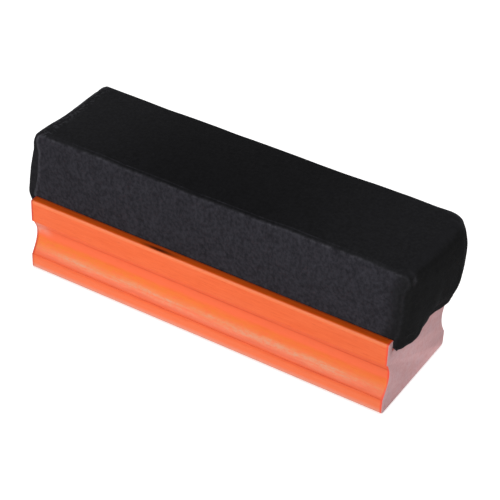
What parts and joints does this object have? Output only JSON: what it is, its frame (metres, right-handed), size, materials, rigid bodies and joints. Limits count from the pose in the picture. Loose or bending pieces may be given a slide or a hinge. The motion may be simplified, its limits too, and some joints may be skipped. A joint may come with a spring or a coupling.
{
  "type": "chalkboard eraser",
  "caption": "Chalkboard eraser: a moulded, orange-stained wood handle with a black cloth-covered foam wiping pad set in the channel between its lips.",
  "frame": {"origin": "centre of the handle's flat back, which is the face the eraser rests on", "axes": "+Z from the handle's back towards the wiping face of the pad, +X along the eraser, +Y across it"},
  "size_m": [0.1542, 0.0452, 0.0576],
  "materials": {
    "stained_wood": "orange stain and satin varnish on the moulded sides, back and lips; bare, pinkish grey sawn ends",
    "pile_cloth": "short black cut-pile cloth, matt, with a faint cool sheen at a low angle",
    "foam": "open-cell polyurethane foam, matt, pale yellow grey",
    "hardboard": "thin brown hardboard, matt",
    "staple_wire": "bright zinc-coated flat wire",
    "glue": "dried cream-coloured wood glue"
  },
  "bodies": {
    "root": {"wood_handle": "stained_wood", "cloth_cover": "pile_cloth", "foam_core": "foam", "backing_board": "hardboard", "glue_bead_front": "glue", "glue_bead_back": "glue", "staple_front_1": "staple_wire", "staple_front_2": "staple_wire", "staple_front_3": "staple_wire", "staple_front_4": "staple_wire", "staple_front_5": "staple_wire", "staple_front_6": "staple_wire", "staple_back_1": "staple_wire", "staple_back_2": "staple_wire", "staple_back_3": "staple_wire", "staple_back_4": "staple_wire", "staple_back_5": "staple_wire", "staple_back_6": "staple_wire", "staple_left_1": "staple_wire", "staple_left_2": "staple_wire", "staple_right_1": "staple_wire", "staple_right_2": "staple_wire"}
  },
  "joints": []
}
